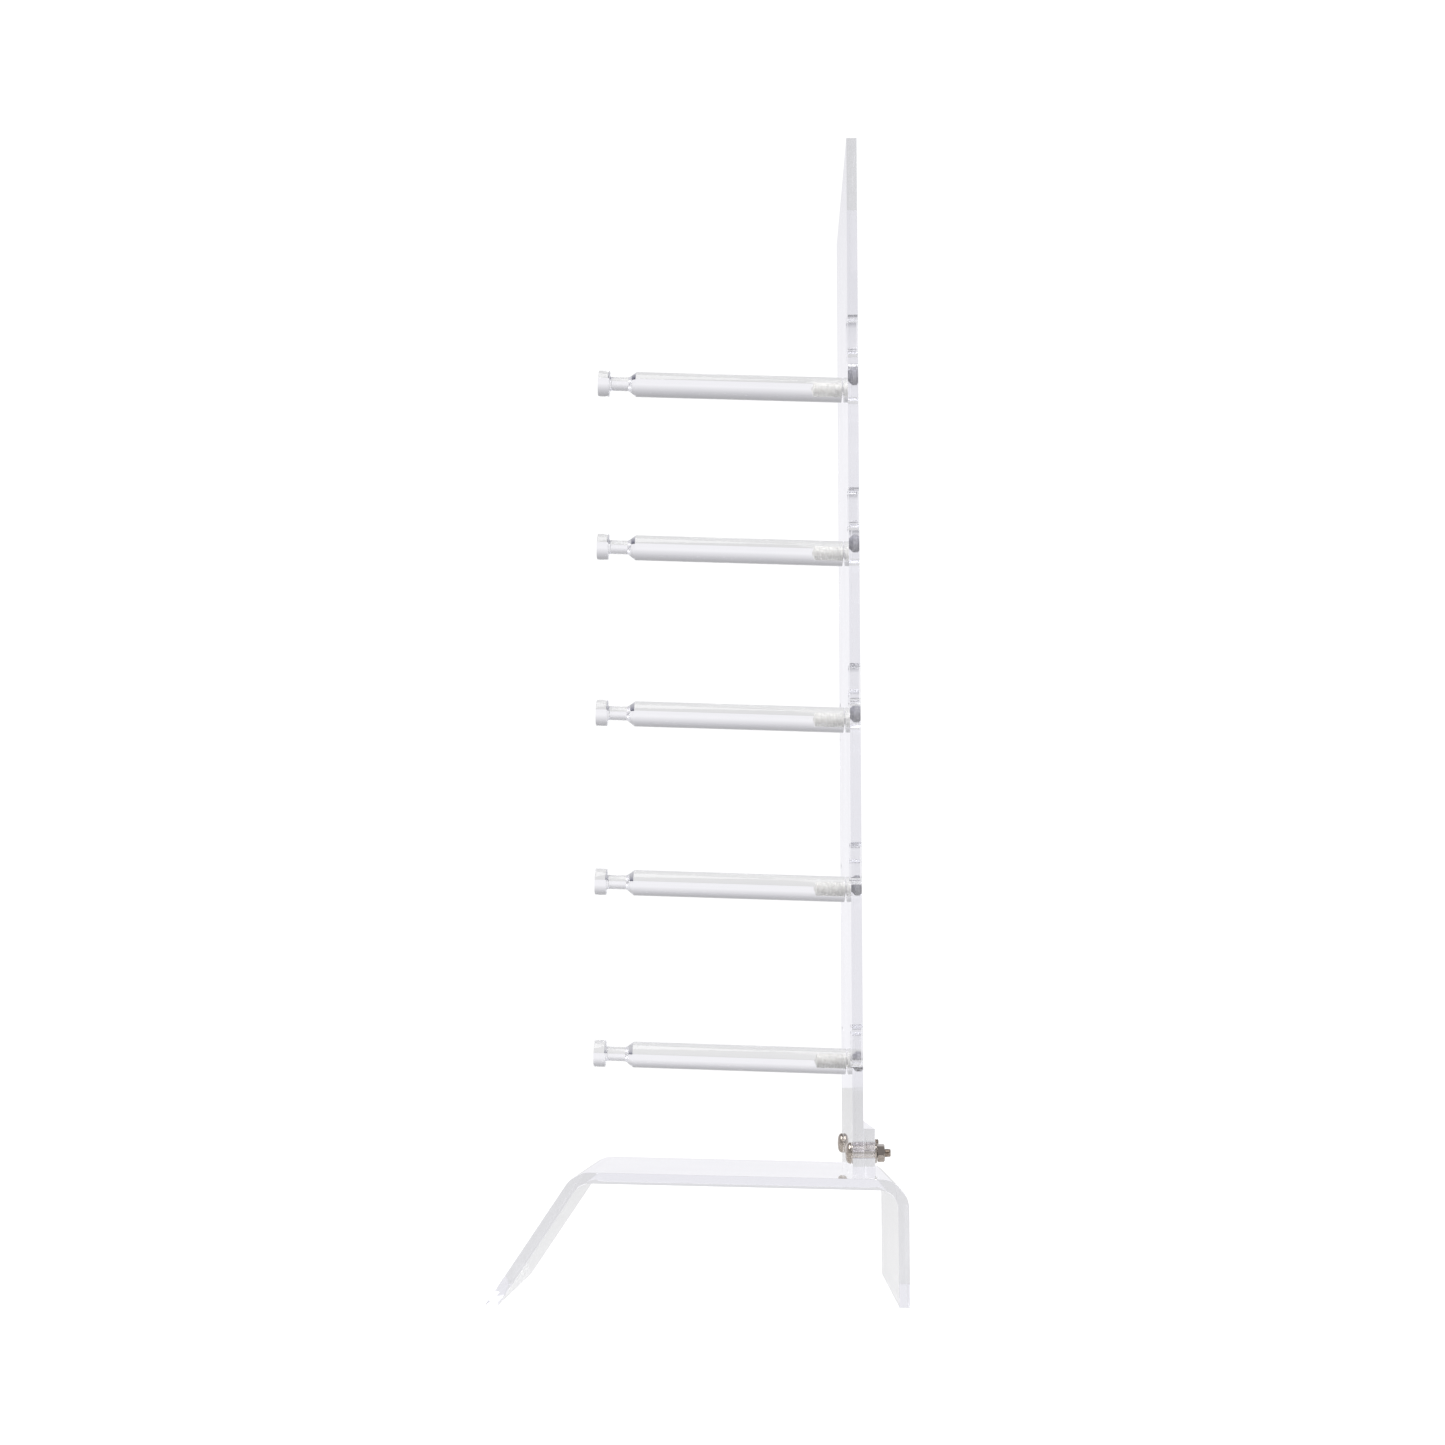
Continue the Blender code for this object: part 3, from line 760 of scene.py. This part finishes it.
def build_rod_screw(index):
    """One clear countersunk screw with a slotted head and a real helical thread."""
    anchor, direction = rod_line(index)
    head_face, cone_end = screw_depths(-direction.y)
    tip = CAD_GAP + SCREW_REACH
    rows = [(0.0, head_face, 0.0), (SCREW_HEAD_RADIUS - TIP_EASE, head_face, 0.0)]
    rows += [(SCREW_HEAD_RADIUS, head_face + TIP_EASE, 0.0)]
    rows += [(SCREW_HEAD_RADIUS, head_face + SCREW_HEAD_RIM, 0.0), (THREAD_ROOT, cone_end, 0.0)]
    rows += threaded(THREAD_ROOT, THREAD_DEPTH, cone_end + THREAD_STEP, tip - TIP_LENGTH)
    rows += [(THREAD_ROOT - TIP_EASE, tip, 0.0), (0.0, tip, 0.0)]
    screw = revolve(f"clear_screw_{index}", rows, THREAD_SIDES, [MOULDED])
    half = SCREW_SLOT_WIDTH / 2
    low = head_face - MM
    floor = head_face + SCREW_SLOT_DEPTH
    reach = SCREW_HEAD_RADIUS + MM
    outline = [(-reach, low), (reach, low), (reach, floor), (-reach, floor)]
    combine(screw, [prism("cutter", outline, "Y", -half, half, [])], "DIFFERENCE")
    screw.matrix_world = along(anchor, direction)
    finish_piece(screw, f"rod_screw_{index}", f"rod_screw_{index}")


# --- bolts, washers and nuts ------------------------------------------------------------------------


def cross_arm(head_top, turn):
    """Cutter for one arm of the cross recess, which narrows to its floor."""
    bm = bmesh.new()
    rings = []
    for depth, share in ((-MM, 1.0), (0.0, 1.0), (CROSS_DEPTH, CROSS_TAPER)):
        x, y = CROSS_LENGTH / 2 * share, CROSS_WIDTH / 2
        corners = ((-x, -y), (x, -y), (x, y), (-x, y))
        rings.append([bm.verts.new((*corner, head_top + depth)) for corner in corners])
    bm.faces.new(rings[0])
    bm.faces.new(rings[-1])
    for lower, upper in zip(rings, rings[1:]):
        for i, start in enumerate(lower):
            j = (i + 1) % len(lower)
            bm.faces.new((start, lower[j], upper[j], upper[i]))
    cutter = mesh_object("cutter", bm, [])
    cutter.data.transform(Matrix.Rotation(turn, 4, "Z"))
    return cutter


def build_bolt(label):
    """Pan-head bolt with a tapered cross recess, plain through the sheets and threaded behind."""
    anchor = bolt_anchor(label)
    low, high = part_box(f"panel_bolt_{label}")
    head_top = low.y - anchor.y
    tip = high.y - anchor.y
    head_back = -CONTACT_GAP
    rim_top = head_back - BOLT_HEAD_RIM
    shank = THREAD_ROOT + THREAD_DEPTH
    rows = [(0.0, head_top, 0.0), (BOLT_HEAD_FLAT, head_top, 0.0)]
    for k in range(1, BOLT_HEAD_STEPS + 1):
        angle = QUARTER * k / BOLT_HEAD_STEPS
        radius = BOLT_HEAD_FLAT + (BOLT_HEAD_RADIUS - BOLT_HEAD_FLAT) * math.sin(angle)
        rows.append((radius, rim_top - (rim_top - head_top) * math.cos(angle), 0.0))
    rows += [(BOLT_HEAD_RADIUS, head_back - BOLT_HEAD_EASE, 0.0)]
    rows += [(BOLT_HEAD_RADIUS - BOLT_HEAD_EASE, head_back, 0.0)]
    rows += [(shank, head_back, 0.0), (shank, BOLT_PLAIN, 0.0)]
    rows += threaded(THREAD_ROOT, THREAD_DEPTH, BOLT_PLAIN + THREAD_STEP, tip - TIP_LENGTH)
    rows += [(THREAD_ROOT - TIP_EASE, tip, 0.0), (0.0, tip, 0.0)]
    bolt = revolve(f"pan_bolt_{label}", rows, THREAD_SIDES, [NICKEL, LIT_SHANK])
    combine(bolt, [cross_arm(head_top, turn) for turn in (0.0, QUARTER)], "DIFFERENCE")
    # the plain shank through the sheets takes the lighter copy of the nickel, a painted highlight
    paint_faces(bolt, lambda at, normal: 1 if CONTACT_GAP < at.z < BOLT_PLAIN else 0)
    bolt.matrix_world = along(anchor, Vector((0.0, 1.0, 0.0)))
    finish_piece(bolt, f"panel_bolt_{label}", f"panel_bolt_{label}")


def build_washer(label):
    """Plain washer with eased edges."""
    anchor = bolt_anchor(label)
    low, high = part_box(f"panel_washer_{label}")
    outer = (high.x - low.x) / 2
    thickness = high.y - low.y
    ease = WASHER_ROUND
    rows = [(WASHER_BORE, ease, 0.0), (WASHER_BORE + ease, 0.0, 0.0)]
    rows += [(outer - ease, 0.0, 0.0), (outer, ease, 0.0)]
    rows += [(outer, thickness - ease, 0.0), (outer - ease, thickness, 0.0)]
    rows += [(WASHER_BORE + ease, thickness, 0.0), (WASHER_BORE, thickness - ease, 0.0)]
    washer = revolve(f"flat_washer_{label}", rows, ROD_SIDES, [NICKEL])
    washer.matrix_world = along(Vector((anchor.x, low.y, anchor.z)), Vector((0.0, 1.0, 0.0)))
    finish_piece(washer, "rack", f"panel_washer_{label}")


def build_nut(label):
    """Hexagon nut with conical chamfers and a threaded bore."""
    anchor = bolt_anchor(label)
    low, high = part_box(f"panel_nut_{label}")
    height = high.y - low.y
    rows = [(0.0, 0.0, 0.0), (NUT_CORNER, 0.0, 0.0), (NUT_CORNER, height, 0.0), (0.0, height, 0.0)]
    nut = revolve(f"hex_nut_{label}", rows, NUT_SIDES, [NICKEL])
    flat = NUT_CORNER * math.cos(math.pi / NUT_SIDES)
    wide = NUT_CORNER + MM
    drop = (wide - flat) * math.tan(NUT_CHAMFER_ANGLE)
    rows = [(0.0, 0.0, 0.0), (flat, 0.0, 0.0), (wide, drop, 0.0), (wide, height - drop, 0.0)]
    rows += [(flat, height, 0.0), (0.0, height, 0.0)]
    combine(nut, [revolve("cutter", rows, ROD_SIDES, [])], "INTERSECT")
    mouth = NUT_BORE + NUT_MOUTH_FLARE
    rows = [(0.0, -MM, 0.0), (mouth, -MM, 0.0), (mouth, 0.0, 0.0)]
    rows += threaded(NUT_BORE, NUT_THREAD_DEPTH, NUT_MOUTH_DEPTH, height - NUT_MOUTH_DEPTH)
    rows += [(mouth, height, 0.0), (mouth, height + MM, 0.0), (0.0, height + MM, 0.0)]
    combine(nut, [revolve("cutter", rows, THREAD_SIDES, [])], "DIFFERENCE")
    facing = along(Vector((anchor.x, low.y, anchor.z)), Vector((0.0, 1.0, 0.0)))
    nut.matrix_world = facing @ Matrix.Rotation(NUT_TURN, 4, "Z")
    finish_piece(nut, f"panel_nut_{label}", f"panel_nut_{label}")


# --- studio --------------------------------------------------------------------------------------


def build_stage():
    """White floor that runs to the horizon."""
    bm = bmesh.new()
    corners = [(-1, -1), (1, -1), (1, 1), (-1, 1)]
    bm.faces.new([bm.verts.new((x * FLOOR_HALF, y * FLOOR_HALF, 0.0)) for x, y in corners])
    floor = mesh_object("floor", bm, [pale_floor()])
    floor.location.z = -FLOOR_DROP


def softbox(name, at, size, power, color):
    """Square softbox aimed at the middle of the rack."""
    data = bpy.data.lights.new(name, "AREA")
    data.shape = "SQUARE"
    data.size = size
    data.energy = power
    data.color = color
    light = bpy.data.objects.new(name, data)
    light.matrix_world = along(at, (at - LIGHT_TARGET).normalized())
    bpy.context.scene.collection.objects.link(light)


def build_world():
    """Pale room that greys overhead and away from -X; the camera itself sees a white backdrop."""
    world = bpy.data.worlds.new("studio")
    world.use_nodes = True
    tree = world.node_tree
    background = tree.nodes["Background"]
    coords = tree.nodes.new("ShaderNodeTexCoord")
    split = tree.nodes.new("ShaderNodeSeparateXYZ")
    tree.links.new(coords.outputs["Generated"], split.inputs["Vector"])
    colors = []
    for axis, stops in (("X", AROUND_STOPS), ("Z", OVERHEAD_STOPS)):
        turn = tree.nodes.new("ShaderNodeMapRange")
        turn.inputs["From Min"].default_value = 1.0
        turn.inputs["From Max"].default_value = -1.0
        tree.links.new(split.outputs[axis], turn.inputs["Value"])
        ramp = tree.nodes.new("ShaderNodeValToRGB")
        fill_ramp(ramp, stops)
        tree.links.new(turn.outputs["Result"], ramp.inputs["Fac"])
        colors.append(ramp.outputs["Color"])
    blend = tree.nodes.new("ShaderNodeMix")
    blend.data_type = "RGBA"
    blend.blend_type = "MULTIPLY"
    blend.inputs["Factor"].default_value = 1.0
    tree.links.new(colors[0], blend.inputs["A"])
    tree.links.new(colors[1], blend.inputs["B"])
    tree.links.new(blend.outputs["Result"], background.inputs["Color"])
    sweep = tree.nodes.new("ShaderNodeBackground")
    sweep.inputs["Color"].default_value = (*WHITE, 1.0)
    sweep.inputs["Strength"].default_value = BACKDROP_WHITE
    path = tree.nodes.new("ShaderNodeLightPath")
    choice = tree.nodes.new("ShaderNodeMixShader")
    tree.links.new(path.outputs["Is Camera Ray"], choice.inputs["Fac"])
    tree.links.new(background.outputs["Background"], choice.inputs[1])
    tree.links.new(sweep.outputs["Background"], choice.inputs[2])
    tree.links.new(choice.outputs["Shader"], tree.nodes["World Output"].inputs["Surface"])
    bpy.context.scene.world = world


def build_camera():
    """Side view from just above the base, tilted up."""
    data = bpy.data.cameras.new("camera")
    data.lens = CAMERA_LENS
    data.sensor_width = SENSOR
    camera = bpy.data.objects.new("camera", data)
    camera.location = CAMERA_AT
    camera.rotation_euler = CAMERA_FORWARD.to_track_quat("-Z", "Y").to_euler()
    bpy.context.scene.collection.objects.link(camera)
    bpy.context.scene.camera = camera


build_base()
build_tab()
build_panel()
for rod_index in range(1, len(ROD_NAMES) + 1):
    build_rod(rod_index)
    build_rod_screw(rod_index)
for side_label in SIDES:
    build_bolt(side_label)
    build_washer(side_label)
    build_nut(side_label)
build_stage()
build_world()
for box in SOFTBOXES:
    softbox(*box)
build_camera()
bpy.context.scene.view_settings.view_transform = "Standard"
